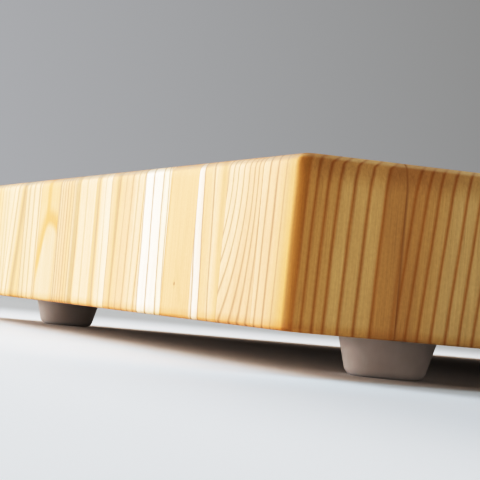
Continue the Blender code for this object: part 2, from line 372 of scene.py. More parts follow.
    # satin oil: a little duller on the summer wood and where the pores lie open
    bright = g.add("ShaderNodeRGBToBW")
    g.put(bright.inputs[0], colour)
    rough = g.span(bright.outputs[0], 0.2, 0.65, 0.66, 0.56, False)
    rough = g.math("ADD", rough, g.span(fibre, 0.3, 0.7, -0.05, 0.05, False))
    g.set("Roughness", g.math("ADD", rough, g.math("MULTIPLY", end, 0.06)))
    g.set("Specular IOR Level", 0.14)
    g.set("Coat Weight", 0.03)
    g.set("Coat Roughness", 0.34)
    g.set("IOR", 1.48)
    relief = g.math("ADD", g.math("MULTIPLY", fibre, 0.6), g.math("MULTIPLY", streak, 0.4))
    relief = g.math("ADD", relief, g.math("MULTIPLY", bright.outputs[0], -0.5))
    g.set("Normal", g.bump(relief, 0.22, 0.00006))
    return g.material


# ---------------------------------------------------------------- the blocks seen in the photograph
def front_rings(pith_back, slope, middle, tones, lines, lean=0.0, **more):
    """Rings whose lines cross the front face at the given places along it. The pith lies pith_back to the right of the middle, and slope is how far a ring moves along the face for each step back."""
    pith = (middle - pith_back, slope * pith_back)

    def out(at):
        return math.hypot(at - pith[0], pith[1])

    def width(at):
        return abs(at - pith[0]) / out(at)

    places = [t[0] for t in tones]
    low, high = out(min(places)), out(max(places))
    return {
        "kind": "rings",
        "pith": pith,
        "lean": (lean, 0.0),
        "range": (low, high),
        "bands": [
            {
                "span": (low, high),
                "tones": [(out(at), colour) for at, colour in tones],
                "lines": [(out(at), half * width(at), depth) for at, half, depth in lines],
                "late": LATE_PALE,
            }
        ],
        **more,
    }


def knot(at_u, at_z, radius):
    def paint(g, colour, u, v, z, wander):
        off = g.vec("LENGTH", g.join(g.math("SUBTRACT", u, at_u), g.math("MULTIPLY", g.math("SUBTRACT", z, at_z), 0.8), 0.0))
        off = g.math("MULTIPLY_ADD", wander, 0.25, off)
        colour = g.mix(g.span(off, radius * 3.2, radius * 1.0, 0.0, 0.35), colour, BROWN)
        return g.mix(g.span(off, radius * 1.05, radius * 0.45, 0.0, 0.9), colour, (0.16, 0.07, 0.022))

    return paint


def smear(from_u, from_z, to_u, to_z, half, colour_to, depth):
    """A soft slanting stain on the block's upright faces."""

    def paint(g, colour, u, v, z, wander):
        lean = (to_u - from_u) / (to_z - from_z)
        middle = g.math("MULTIPLY_ADD", g.math("SUBTRACT", z, from_z), lean, from_u)
        off = g.math("ABSOLUTE", g.math("ADD", g.math("SUBTRACT", u, middle), g.math("MULTIPLY", wander, 1.2)))
        inside = g.math("MULTIPLY", g.span(z, from_z - 4, from_z + 3), g.span(z, to_z + 5, to_z - 2))
        return g.mix(g.math("MULTIPLY", inside, g.span(off, half, half * 0.15, 0.0, depth)), colour, colour_to)

    return paint


def flame(apex_u, apex_z, left_fall, right_fall):
    """A tongue of summer wood where a ring just grazes the face: an arch with a streak rising from it."""

    def paint(g, colour, u, v, z, wander):
        off = g.math("ADD", g.math("SUBTRACT", u, apex_u), g.math("MULTIPLY", wander, 0.9))
        right = g.math("GREATER_THAN", off, 0.0)
        fall = g.math("MULTIPLY_ADD", right, right_fall - left_fall, left_fall)
        arch = g.math("SUBTRACT", apex_z, g.math("MULTIPLY", fall, g.math("MULTIPLY", off, off)))
        slope = g.math("MULTIPLY", g.math("MULTIPLY", fall, off), 2.0)
        steep = g.math("SQRT", g.math("MULTIPLY_ADD", slope, slope, 1.0))
        over = g.math("DIVIDE", g.math("SUBTRACT", z, arch), steep)
        over = g.math("MULTIPLY_ADD", wander, 0.6, over)
        near_front = g.span(v, 14.0, 3.0)
        fade = g.math("MULTIPLY", near_front, g.span(z, 4.0, 13.0))
        core = g.math("MULTIPLY", g.span(over, -3.2, -0.2), g.span(over, 5.5, 0.8))
        colour = g.mix(g.math("MULTIPLY", g.math("MULTIPLY", g.span(over, -1.0, 2.0), fade), 0.60), colour, AMBER)
        colour = g.mix(g.math("MULTIPLY", g.math("MULTIPLY", core, fade), 0.95), colour, FLAME)
        rising = g.span(g.math("ABSOLUTE", g.math("SUBTRACT", off, 2.0)), 3.6, 0.6)
        rising = g.math("MULTIPLY", rising, g.math("MULTIPLY", g.span(z, apex_z - 3, apex_z + 1), near_front))
        return g.mix(g.math("MULTIPLY", rising, 0.88), colour, FLAME)

    return paint


def seen_blocks():
    """Rings of the blocks on the front face, from the right-hand end, and of the second block on the right-hand end."""
    specs = {}

    # the corner block: straight rings, diagonal in plan, so they show on both faces; a broad darker band runs down the
    # corner itself
    a, b = 1 / 2.0, -1 / 1.148
    front = lambda u: u * a
    side = lambda v: v * b
    specs["row01_front"] = {
        "kind": "slant",
        "slope": (a, b),
        "lean": (-0.03, 0.014),
        "curl": 0.45,
        "range": (side(26.5), front(26.5)),
        "wander": 0.5,
        "tremble": 0.26,
        "bands": [
            {
                "span": (side(26.5), side(-0.2)),
                "tones": [
                    (side(26.5), BROWN),
                    (side(21.0), BROWN),
                    (side(19.0), PALE_GOLD),
                    (side(10.0), PALE_GOLD),
                    (side(8.0), blended(GOLD, PALE_GOLD, 0.45)),
                    (side(5.0), blended(GOLD, PALE_GOLD, 0.3)),
                    (side(0.9), GOLD),
                    (side(0.4), CORNER),
                    (side(-0.2), CORNER),
                ],
                "lines": [(side(p), half, depth) for p, half, depth in ((0.7, 0.40, 0.8), (3.1, 0.42, 0.92), (5.9, 0.42, 0.92), (8.6, 0.42, 0.92), (12.2, 0.42, 0.88), (16.0, 0.42, 0.88), (20.0, 0.44, 0.92), (25.2, 0.55, 0.6))],
            },
            {
                "span": (side(-0.2), front(26.5)),
                "tones": [
                    (side(-0.2), CORNER),
                    (front(3.0), CORNER),
                    (front(4.8), ORANGE),
                    (front(9.5), HONEY),
                    (front(12.0), AMBER),
                    (front(16.0), PEACH),
                    (front(21.0), PEACH),
                    (front(26.5), CREAM),
                ],
                "lines": [
                    (front(11.3), 0.26, 0.70),
                    (front(16.7), 0.34, 1.0),
                    (front(22.0), 0.32, 0.95),
                ],
                "late": LATE_PALE,
            },
        ],
    }
    specs["row02_front"] = {
        "kind": "fan",
        "range": (22.5, 53.5),
        "wander": 0.6,
        "tremble": 0.24,
        "bands": [
            {
                "span": (22.5, 53.5),
                "tones": [(22.5, PEACH), (32.0, PEACH), (42.0, CREAM), (53.5, CREAM)],
                "lines": [
                    (p, 0.46, 0.92) for p in (25.7, 28.6, 31.4, 35.0, 38.9, 42.9, 46.4, 50.0)
                ],
                "late": LATE_PALE,
            }
        ],
    }
    specs["row03_front"] = front_rings(
        42,
        1.5,
        62,
        [(48.0, CREAM), (50.3, AMBER), (51.2, HONEY), (53.0, HONEY), (54.0, AMBER), (56, blended(CREAM, AMBER, 0.5)), (58.5, CREAM), (61, blended(AMBER, CREAM, 0.2)), (66.4, AMBER), (67.6, SNOW), (71.8, SNOW), (74.5, AMBER)],
        [(59.3, 0.60, 0.95), (66.6, 0.55, 0.95), (72.3, 0.70, 1.0)],
        lean=0.095,
    )
    specs["row04_front"] = {
        "kind": "rings",
        "pith": (85.0, -95.0),
        "lean": (0.0, 0.02),
        "range": (93.6, 121.0),
        "wander": 1.0,
        "bands": [
            {
                "span": (93.6, 121.0),
                "tones": [(93.6, AMBER), (97.5, AMBER), (98.0, ORANGE), (104.0, HONEY), (121.0, GOLD)],
                "lines": [(p, 0.55, 0.6) for p in (98.6, 102.1, 105.2, 109.0, 112.3, 115.8, 119.0)],
            }
        ],
        "extras": [knot(86.0, 8.8, 0.55), smear(77.5, 1.5, 85.5, 13.0, 2.6, HONEY, 0.55), smear(80.5, 12.0, 82.0, 34.0, 2.0, HONEY, 0.30), smear(95.9, -1.0, 96.4, 22.0, 0.42, LATE, 0.60), smear(96.4, 22.0, 95.9, 36.5, 0.42, LATE, 0.60)],
    }
    specs["row05_front"] = front_rings(
        40,
        2.0,
        109,
        [(94.5, AMBER), (96.8, WHITE), (102.5, WHITE), (104, SNOW), (119.0, SNOW), (120.6, CREAM), (123.5, AMBER)],
        [(97.6, 0.6, 0.90), (102.8, 0.75, 1.0), (112.0, 0.75, 1.0), (119.8, 0.65, 0.85)],
        lean=0.06,
    )
    specs["row06_front"] = front_rings(
        46,
        1.0,
        134,
        [(119, CREAM), (121.5, AMBER), (123, CREAM), (128, CREAM), (133, PEACH), (141, PEACH), (145, AMBER), (149, TAN)],
        [(121.6, 0.55, 0.85), (127.6, 0.75, 0.72), (133.8, 0.80, 0.75), (140.4, 0.70, 0.62), (146.6, 0.9, 0.70)],
        lean=-0.03,
    )
    specs["row07_front"] = front_rings(
        44,
        0.9,
        159,
        [(145, AMBER), (147, TAN), (149, AMBER), (153, PEACH), (154.5, blended(WHITE, CREAM, 0.3)), (164, CREAM), (166.0, AMBER), (168.2, blended(TAN, CREAM, 0.3)), (170, HONEY), (172.5, PEACH)],
        [(153.6, 0.7, 0.60), (160.2, 0.8, 0.52), (167.6, 0.9, 0.62)],
        lean=0.05,
    )
    specs["row08_front"] = front_rings(
        44,
        0.9,
        183,
        [(169, HONEY), (171.5, CREAM), (181, CREAM), (187.5, CREAM), (189.5, AMBER), (191.0, TAN), (193.5, TAN), (195.5, AMBER)],
        [(181.2, 0.85, 0.58), (190.4, 0.7, 0.55)],
        lean=0.02,
    )
    specs["row09_front"] = front_rings(
        40,
        1.0,
        204,
        [(192.5, TAN), (195.5, STRAW), (200, AMBER), (207, PEACH), (216.5, STRAW)],
        [(p, 0.80, d) for p, d in ((195.6, 0.50), (198.3, 0.75), (201.7, 0.80), (205.0, 0.85), (208.2, 0.75), (211.2, 0.75), (214.0, 0.90))],
        lean=0.02,
    )
    specs["row10_front"] = front_rings(
        38,
        2.6,
        228,
        [(213, PEACH), (216, AMBER), (220, STRAW), (235, STRAW), (240, AMBER), (242, STRAW)],
        [(214.8, 0.8, 0.75), (239.2, 0.8, 0.6)],
        wander=1.0,
        extras=[smear(227.0, 31.0, 226.0, 44.0, 20.0, ORANGE, 0.70), smear(227.5, 20.0, 227.0, 32.0, 9.0, AMBER, 0.45), flame(226.4, 27.0, 0.022, 0.13)],
    )
    specs["row11_front"] = front_rings(
        44,
        1.0,
        251,
        [(238, STRAW), (245, CREAM), (258, STRAW), (265, AMBER)],
        [(242.6, 1.0, 0.80), (250.0, 1.0, 0.72), (256.6, 1.0, 0.78), (261.6, 0.9, 0.75)],
        lean=0.03,
    )
    specs["row12_front"] = front_rings(
        40,
        1.0,
        275,
        [(259, HONEY), (263, AMBER), (266.0, TAN), (269.5, TAN), (271.5, AMBER), (274, STRAW), (281, CREAM), (289, STRAW)],
        [(268.5, 1.0, 0.60), (277.4, 1.1, 0.80), (283.5, 0.9, 0.55)],
        lean=-0.21,
    )
    specs["row13_front"] = front_rings(
        40,
        0.8,
        298,
        [(285, STRAW), (292, STRAW), (300, AMBER), (310, HONEY)],
        [(p, 0.8, 0.55) for p in (288.5, 293.0, 297.8, 302.0, 306.5)],
        lean=0.03,
    )

    # the second block on the right-hand end
    pith = (62.0, -52.0)
    out = lambda p: math.hypot(pith[0], p - pith[1])
    specs["row01_middle"] = {
        "kind": "rings",
        "pith": pith,
        "lean": (0.0, 0.075),
        "curl": 0.08,
        "range": (out(24.0), out(50.6)),
        "wander": 0.5,
        "tremble": 0.26,
        "glue": 0.70,
        "seam": 0.75,
        "bands": [
            {
                "span": (out(24.0), out(50.6)),
                "tones": [(out(24.0), BROWN), (out(28.5), BROWN), (out(33.5), blended(GOLD, DULL_GOLD, 0.5)), (out(38.0), DULL_GOLD), (out(50.6), DULL_GOLD)],
                "lines": [(out(p), 0.38, 0.92) for p in (27.0, 29.9, 32.8, 36.1, 39.9, 43.3, 46.9)],
            }
        ],
    }
    return specs


def guessed_spec(name, low, high):
    """Rings of a block whose end grain only shows from above: the pith lies off one side of it, or far off along the board."""
    rng = random.Random("rings " + name)
    u_mid = LENGTH * 500 - (low.x + high.x) * 500
    v_mid = (low.y + high.y) * 500 + WIDTH * 500
    length = (high.y - low.y) * 1000
    how = rng.random()
    if how < 0.55:
        pith = (u_mid + rng.choice((-1, 1)) * rng.uniform(24, 62), v_mid + rng.uniform(-0.3, 0.3) * length)
    elif how < 0.8:
        pith = (u_mid + rng.choice((-1, 1)) * rng.uniform(45, 80), v_mid + rng.choice((-1, 1)) * rng.uniform(0.5, 0.8) * length)
    else:
        pith = (u_mid + rng.uniform(-18, 18), v_mid + rng.choice((-1, 1)) * (length / 2 + rng.uniform(20, 60)))
    span = rng.uniform(26, 36)
    near = max(4.0, math.hypot(max(abs(u_mid - pith[0]) - 13, 0), max(abs(v_mid - pith[1]) - length / 2, 0)) - 2)
    tones, lines = random_rings(rng, span)
    return {
        "kind": "rings",
        "pith": pith,
        "lean": (rng.uniform(-0.06, 0.06), rng.uniform(-0.06, 0.06)),
        "range": (near, near + span),
        "bands": [
            {
                "span": (near, near + span),
                "tones": [(near + at, colour) for at, colour in tones],
                "lines": [(near + at, half, depth) for at, half, depth in lines],
            }
        ],
    }


# ---------------------------------------------------------------- meshes
def link(name, bm, material):
    mesh = bpy.data.meshes.new(name)
    bm.to_mesh(mesh)
    bm.free()
    made = bpy.data.objects.new(name, mesh)
    bpy.context.scene.collection.objects.link(made)
    mesh.materials.append(material)
    return made


def settle(made, degrees):
    """Smooth shading that keeps flat faces flat, with every modifier applied."""
    made.data.shade_smooth()
    made.data.set_sharp_from_angle(angle=math.radians(degrees))
    weigh = made.modifiers.new("weigh", "WEIGHTED_NORMAL")
    weigh.keep_sharp = True
    weigh.weight = 90
    graph = bpy.context.evaluated_depsgraph_get()
    mesh = bpy.data.meshes.new_from_object(made.evaluated_get(graph), depsgraph=graph)
    old = made.data
    made.modifiers.clear()
    made.data = mesh
    bpy.data.meshes.remove(old)
    mesh.name = made.name


def shoulder_arcs(shoulder):
    """Height where a side starts to lean in, height where the tighter arc takes over, and the inset of the cutting surface."""
    radius, edge, lean = shoulder[0], shoulder[1], math.radians(shoulder[2])
    start = TOP - edge - (radius - edge) * math.sin(lean)
    return start, start + radius * math.sin(lean), radius - (radius - edge) * math.cos(lean)


def lean_in(height, shoulder):
    """How far a side stands in from the board's outline at a height."""
    radius, edge, _ = shoulder
    start, meet, inner = shoulder_arcs(shoulder)
    if height < UNDERSIDE + BOTTOM_RADIUS:
        return BOTTOM_RADIUS - math.sqrt(max(BOTTOM_RADIUS**2 - (UNDERSIDE + BOTTOM_RADIUS - height) ** 2, 0.0))
    if height <= start:
        return 0.0
    if height <= meet:
        return radius - math.sqrt(radius**2 - (height - start) ** 2)
    return inner - math.sqrt(max(edge**2 - (height - TOP + edge) ** 2, 0.0))


def edge_levels():
    """Heights up the outside of the slab: round the edge of the underside, up the side, and over both shoulders."""
    levels = [height for _, height in arc((0.0, UNDERSIDE + BOTTOM_RADIUS), BOTTOM_RADIUS, 270.0, 180.0, 6)]
    levels += [UNDERSIDE + share * THICKNESS for share in (0.2, 0.4, 0.6)]
    for shoulder in (END_SHOULDER, SIDE_SHOULDER):
        radius, edge, lean = shoulder
        levels += [height for _, height in arc((0.0, shoulder_arcs(shoulder)[0]), radius, 0.0, lean, 8)]
        levels += [height for _, height in arc((0.0, TOP - edge), edge, lean, 90.0, 12)]
    kept = []
    for height in sorted(levels):
        if not kept or height - kept[-1] > 0.000012:
            kept.append(height)
    kept[-1] = TOP
    return kept


def plan_ring(low, high, outer, height):
    """Plan of a block at one height, anticlockwise from above. Sides on the outside of the slab lean in, and a slab corner is rounded."""
    along, across = lean_in(height, END_SHOULDER), lean_in(height, SIDE_SHOULDER)
    x0 = low.x + (along if "-x" in outer else 0.0)
    x1 = high.x - (along if "+x" in outer else 0.0)
    y0 = low.y + (across if "-y" in outer else 0.0)
    y1 = high.y - (across if "+y" in outer else 0.0)
    ring = []
    for x, y, sides, start in (
        (x0, y0, {"-x", "-y"}, 180.0),
        (x1, y0, {"+x", "-y"}, 270.0),
        (x1, y1, {"+x", "+y"}, 0.0),
        (x0, y1, {"-x", "+y"}, 90.0),
    ):
        if not sides <= outer:
            ring.append((x, y))
            continue
        wide, deep = CORNER_RADIUS - along, CORNER_RADIUS - across
        cx = x + (wide if "-x" in sides else -wide)
        cy = y + (deep if "-y" in sides else -deep)
        for i in range(17):
            a = math.radians(start + 90.0 * i / 16)
            ring.append((cx + wide * math.cos(a), cy + deep * math.sin(a)))
    return ring


def block_mesh(low, high, outer):
    bm = bmesh.new()
    levels = edge_levels() if outer else [UNDERSIDE, TOP]
    rings = [[bm.verts.new((x, y, height)) for x, y in plan_ring(low, high, outer, height)] for height in levels]
    for lower, upper in zip(rings, rings[1:]):
        for i in range(len(lower)):
            j = (i + 1) % len(lower)
            bm.faces.new((lower[i], lower[j], upper[j], upper[i]))
    bm.faces.new(list(reversed(rings[0])))
    bm.faces.new(rings[-1])
    bmesh.ops.remove_doubles(bm, verts=bm.verts, dist=1e-7)
    bmesh.ops.recalc_face_normals(bm, faces=bm.faces)
    return bm


def lathe(profile, steps):
    """A body turned about Z from (radius, height) points."""
    bm = bmesh.new()
    points = [bm.verts.new((r, 0.0, z)) for r, z in profile]
    edges = [bm.edges.new(pair) for pair in zip(points, points[1:])]
    if profile[0][0] > 0.0:
        edges.append(bm.edges.new((points[-1], points[0])))
    bmesh.ops.spin(
        bm, geom=points + edges, cent=(0, 0, 0), axis=(0, 0, 1), angle=2 * math.pi, steps=steps, use_merge=True
    )
    bmesh.ops.remove_doubles(bm, verts=bm.verts, dist=1e-6)
    bmesh.ops.dissolve_degenerate(bm, dist=1e-7, edges=bm.edges)
    bmesh.ops.recalc_face_normals(bm, faces=bm.faces)
    return bm


def arc(centre, radius, start, end, steps):
    for i in range(steps + 1):
        a = math.radians(start + (end - start) * i / steps)
        yield centre[0] + radius * math.cos(a), centre[1] + radius * math.sin(a)


def cut(made, bm):
    """Takes a closed shape out of a piece."""
    mesh = bpy.data.meshes.new("cutter")
    bm.to_mesh(mesh)
    bm.free()
    cutter = bpy.data.objects.new("cutter", mesh)
    bpy.context.scene.collection.objects.link(cutter)
    hole = made.modifiers.new("hole", "BOOLEAN")
    hole.operation = "DIFFERENCE"
    hole.solver = "EXACT"
    hole.object = cutter
    graph = bpy.context.evaluated_depsgraph_get()
    done = bpy.data.meshes.new_from_object(made.evaluated_get(graph), depsgraph=graph)
    old = made.data
    made.modifiers.clear()
    made.data = done
    bpy.data.meshes.remove(old)
    bpy.data.objects.remove(cutter, do_unlink=True)


def pilot_mesh(at):
    r = SCREW_RADIUS + PILOT_CLEARANCE
    point = UNDERSIDE + SCREW_IN_WOOD + PILOT_CLEARANCE
    bm = lathe(
        [
            (0.0, point + 0.0003),
            (r * 0.58, point - SCREW_TIP * 0.55 + 0.0003),
            (r, point - SCREW_TIP + 0.0003),
            (r, UNDERSIDE - 0.0020),
            (0.0, UNDERSIDE - 0.0020),
        ],
        32,
    )
    bmesh.ops.translate(bm, verts=bm.verts, vec=(at[0], at[1], 0.0))
    return bm


def hand_over(made, node, slot):
    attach(made, "root")
    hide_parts(node)


FEET = {
    "front_right": (LENGTH / 2 - 0.0433, -WIDTH / 2 + 0.0433),
    "front_left": (-LENGTH / 2 + 0.0433, -WIDTH / 2 + 0.0433),
    "rear_right": (LENGTH / 2 - 0.0433, WIDTH / 2 - 0.0433),
    "rear_left": (-LENGTH / 2 + 0.0433, WIDTH / 2 - 0.0433),
}


def build_blocks():
    seen = seen_blocks()
    half = 0.00005 - GLUE_GAP / 2
    for node in sorted(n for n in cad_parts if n.startswith("block_")):
        low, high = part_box(node)
        low, high = Vector(low), Vector(high)
        outer = set()
        for side, axis, at, edge in (
            ("-x", 0, low, -LENGTH / 2),
            ("+x", 0, high, LENGTH / 2),
            ("-y", 1, low, -WIDTH / 2),
            ("+y", 1, high, WIDTH / 2),
        ):
            if abs(at[axis] - edge) < 1e-5:
                outer.add(side)
                at[axis] = edge
            else:
                at[axis] += -half if side[0] == "-" else half
        glued = [
            (axis, at)
            for side, axis, at in (("-x", 0, low.x), ("+x", 0, high.x), ("-y", 1, low.y), ("+y", 1, high.y))
            if side not in outer
        ]
        short = node[len("block_") :]
        spec = seen.get(short) or guessed_spec(short, low, high)
        made = link("pine_" + node, block_mesh(low, high, outer), pine(short, low, high, glued, spec))
        for at in FEET.values():
            if low.x < at[0] < high.x and low.y < at[1] < high.y:
                cut(made, pilot_mesh(at))
        settle(made, 32.0)
        hand_over(made, node, "pine")


# ---------------------------------------------------------------- feet and fastenings
def foot_profile():
    slope = math.atan2(FOOT_TOP_RADIUS - FOOT_BOTTOM_RADIUS, FOOT_HEIGHT)
    centre_z = FOOT_EDGE_RADIUS
    side_r = FOOT_BOTTOM_RADIUS + centre_z * math.tan(slope)
    centre = (side_r - FOOT_EDGE_RADIUS / math.cos(slope), centre_z)
    rim = 0.0004
    yield FOOT_HOLE_RADIUS, FOOT_HEIGHT
    yield FOOT_TOP_RADIUS - 0.0030, FOOT_HEIGHT
    yield from arc((FOOT_TOP_RADIUS - rim, FOOT_HEIGHT - rim), rim, 90.0, -math.degrees(slope), 5)
    yield from arc(centre, FOOT_EDGE_RADIUS, -math.degrees(slope), -90.0, 12)
    yield from arc((POCKET_RADIUS + 0.0004, 0.0004), 0.0004, -90.0, -180.0, 4)
    yield POCKET_RADIUS, POCKET_DEPTH - 0.0003
    yield POCKET_RADIUS - 0.0003, POCKET_DEPTH
    yield FOOT_HOLE_RADIUS, POCKET_DEPTH


def rubber():
    g = Graph("rubber_foot")
    place = g.vec("SCALE", g.add("ShaderNodeTexCoord").outputs["Object"], scale=1000.0)
    fine = g.noise(place, 4.5, detail=3.0, roughness=0.65)
    cloud = g.noise(place, 0.16, detail=2.0)
    bloom = g.noise(g.vec("MULTIPLY", place, (0.5, 0.5, 0.2)), 1.0, detail=3.0)
    colour = g.mix(g.span(cloud, 0.3, 0.7), (0.585, 0.520, 0.483), (0.628, 0.562, 0.526))
    colour = g.mix(g.span(fine, 0.55, 0.8, 0.0, 0.25), colour, (0.72, 0.69, 0.67))
    colour = g.mix(g.span(bloom, 0.55, 0.85, 0.0, 0.2), colour, (0.72, 0.70, 0.68))
    g.set("Base Color", colour)
    g.set("Roughness", g.span(fine, 0.3, 0.7, 0.50, 0.64, False))
    g.set("Specular IOR Level", 0.4)
    g.set("Normal", g.bump(g.math("ADD", fine, g.math("MULTIPLY", bloom, 0.6)), 0.25, 0.00006))
    return g.material


def zinc(name, turned):
    """Bright zinc plate, with the faint rings of turning on the washer and a brushed grain on the screw."""
    g = Graph(name)
    place = g.vec("SCALE", g.add("ShaderNodeTexCoord").outputs["Object"], scale=1000.0)
    fine = g.noise(g.vec("MULTIPLY", place, (6.0, 6.0, 0.6) if turned else (2.0, 2.0, 9.0)), 1.0, detail=2.0)
    stain = g.noise(place, 0.5, detail=3.0)
    colour = g.mix(g.span(stain, 0.35, 0.7), (0.60, 0.60, 0.59), (0.47, 0.465, 0.45))
    g.set("Base Color", colour)
    g.set("Metallic", 1.0)
    g.set("Roughness", g.math("ADD", g.span(fine, 0.3, 0.7, 0.24, 0.36, False), g.span(stain, 0.4, 0.8, 0.0, 0.15, False)))
    g.set("Normal", g.bump(fine, 0.15, 0.00003))
    return g.material


def washer_profile():
    low = POCKET_DEPTH - SEAT_GAP - WASHER_THICKNESS
    high = POCKET_DEPTH - SEAT_GAP
    edge = 0.0002
    yield from arc((WASHER_RADIUS - edge, high - edge), edge, 90.0, 0.0, 4)
    yield from arc((WASHER_RADIUS - edge, low + edge), edge, 0.0, -90.0, 4)
    yield WASHER_HOLE_RADIUS + 0.0001, low
    yield WASHER_HOLE_RADIUS, low + 0.0001
    yield WASHER_HOLE_RADIUS, high - 0.0001
    yield WASHER_HOLE_RADIUS + 0.0001, high


def screw_mesh():
    """A pan-head wood screw, point up, with a single thread on the part in the wood."""
    seat = POCKET_DEPTH - 2 * SEAT_GAP - WASHER_THICKNESS
    low = seat - SCREW_HEAD_HEIGHT
    point = UNDERSIDE + SCREW_IN_WOOD
    pitch, turns_from = 0.0018, UNDERSIDE + 0.0010
    around, bm = 48, bmesh.new()
    core, crest = SCREW_RADIUS * 0.70, SCREW_RADIUS

    def shank(angle, height):
        taper = min(1.0, max(0.0, (point - height) / SCREW_TIP))
        if height < turns_from:
            return crest * 0.985
        phase = ((height - turns_from) / pitch - angle / (2 * math.pi)) % 1.0
        tooth = max(0.0, 1.0 - abs(phase - 0.5) / 0.24)
        run_in = min(1.0, (height - turns_from) / pitch)
        body = core + (crest * 0.985 - core) * (1.0 - run_in)
        return (body + (crest - body) * tooth) * math.sin(taper * math.pi / 2) ** 0.8

    rows = [(None, low), (0.45, low), (0.70, low + 0.0002), (0.84, low + 0.0005), (0.93, seat - 0.0014), (1.0, seat - 0.0009), (1.0, seat - 0.0003), (0.97, seat)]
    rings = []
    for share, height in rows[1:]:
        rings.append([(SCREW_HEAD_RADIUS * share, height)] * around)
    rings.append([(SCREW_RADIUS, seat)] * around)
    steps = 150
    for i in range(steps):
        height = seat + (point - seat) * (i + 1) / (steps + 1)
        rings.append([(shank(2 * math.pi * k / around, height), height) for k in range(around)])
    made = [
        [bm.verts.new((r * math.cos(2 * math.pi * k / around), r * math.sin(2 * math.pi * k / around), h)) for k, (r, h) in enumerate(ring)]
        for ring in rings
    ]
    for lower, upper in zip(made, made[1:]):
        for k in range(around):
            j = (k + 1) % around
            bm.faces.new((lower[k], lower[j], upper[j], upper[k]))
    bottom, tip = bm.verts.new((0, 0, low)), bm.verts.new((0, 0, point))
    for k in range(around):
        j = (k + 1) % around
        bm.faces.new((bottom, made[0][j], made[0][k]))
        bm.faces.new((tip, made[-1][k], made[-1][j]))
    bmesh.ops.recalc_face_normals(bm, faces=bm.faces)
    return bm


def recess_mesh(at):
    arm, half = 0.0021, 0.00045
    plan = []
    for turn in range(4):
        c, s = math.cos(turn * math.pi / 2), math.sin(turn * math.pi / 2)
        for x, y in ((half, half), (arm, half), (arm, -half)):
            plan.append((x * c - y * s, x * s + y * c))
    plan = sorted(plan, key=lambda p: math.atan2(p[1], p[0]))
    low = POCKET_DEPTH - 2 * SEAT_GAP - WASHER_THICKNESS - SCREW_HEAD_HEIGHT
    bm = bmesh.new()
    base = bm.faces.new([bm.verts.new((x, y, low - 0.0010)) for x, y in plan])
    up = bmesh.ops.extrude_face_region(bm, geom=[base])["geom"]
    for v in (item for item in up if isinstance(item, bmesh.types.BMVert)):
        v.co.x *= 0.62
        v.co.y *= 0.62
        v.co.z = low + 0.0015
    bmesh.ops.recalc_face_normals(bm, faces=bm.faces)
    bmesh.ops.translate(bm, verts=bm.verts, vec=(at[0], at[1], 0.0))
    return bm


def build_feet():
    foot_finish = rubber()
    washer_finish, screw_finish = zinc("zinc_washer", True), zinc("zinc_screw", False)
    for corner, at in FEET.items():
        for name, bm, finish, node, slot, degrees in (
            ("rubber_foot_", lathe(list(foot_profile()), 128), foot_finish, "foot_", "rubber", 32.0),
            ("steel_washer_", lathe(list(washer_profile()), 96), washer_finish, "washer_", "steel", 32.0),
            ("steel_screw_", screw_mesh(), screw_finish, "screw_", "steel", 38.0),
        ):
            bmesh.ops.translate(bm, verts=bm.verts, vec=(at[0], at[1], 0.0))
            made = link(name + corner, bm, finish)
            if node == "screw_":
                cut(made, recess_mesh(at))
            settle(made, degrees)
            hand_over(made, node + corner, slot)


# ---------------------------------------------------------------- floor, light and camera
def build_floor():
    """A pale floor with a painted pool of light that falls off to grey well behind the board, and painted shade,
    painted warm light and a painted shadow near the board.
    """
    bm = bmesh.new()
    bmesh.ops.create_grid(bm, x_segments=8, y_segments=8, size=6.0)
    g = Graph("floor_white")
    place = g.add("ShaderNodeTexCoord").outputs["Object"]
    cloud = g.noise(place, 3.0, detail=3.0)
    grain = g.noise(place, 900.0, detail=2.0)
    colour = g.mix(g.span(cloud, 0.3, 0.7), (0.840, 0.880, 0.930), (0.865, 0.905, 0.950))
    # painted shade and a cool tint on the floor within 90 mm of the board's outline, damping the warm light thrown back
    # off the wood
    outside = g.vec("SUBTRACT", g.vec("ABSOLUTE", place), (LENGTH / 2, WIDTH / 2, 0.0))
    beside = g.vec("LENGTH", g.vec("MAXIMUM", outside, (0.0, 0.0, 0.0)))
    colour = g.mix(g.span(beside, 0.09, 0.0, 0.0, 1.0), colour, g.mix(1.0, colour, (0.88, 0.95, 1.0), "MULTIPLY"))
    # painted warm light on the floor under the board, standing for the light the wood throws down
    over = g.split(outside)
    colour = g.mix(g.span(g.math("MAXIMUM", over[0], over[1]), 0.006, -0.014), colour, g.mix(1.0, colour, (1.07, 0.97, 0.915), "MULTIPLY"))
    # painted shadow: the floor beside the board's right-hand end is painted darker, fading out towards the front
    across = g.split(place)
    shade = g.math("MULTIPLY", g.span(across[0], 0.16, 0.28), g.span(across[1], -0.240, -0.150))
    colour = g.mix(shade, colour, g.mix(1.0, colour, (0.72, 0.735, 0.75), "MULTIPLY"))
    # painted pool of light: the floor's colour falls off to grey from 0.46 to 0.88 m away from a point in front of the
    # board's right-hand end
    reach = g.vec("DISTANCE", place, (0.30, -0.20, 0.0))
    colour = g.mix(g.span(reach, 0.46, 0.88), colour, (0.40, 0.405, 0.41))
    g.set("Base Color", colour)
    g.set("Roughness", 0.80)
    g.set("Specular IOR Level", 0.2)
    g.set("Normal", g.bump(grain, 0.08, 0.0002))
    floor = link("floor", bm, g.material)


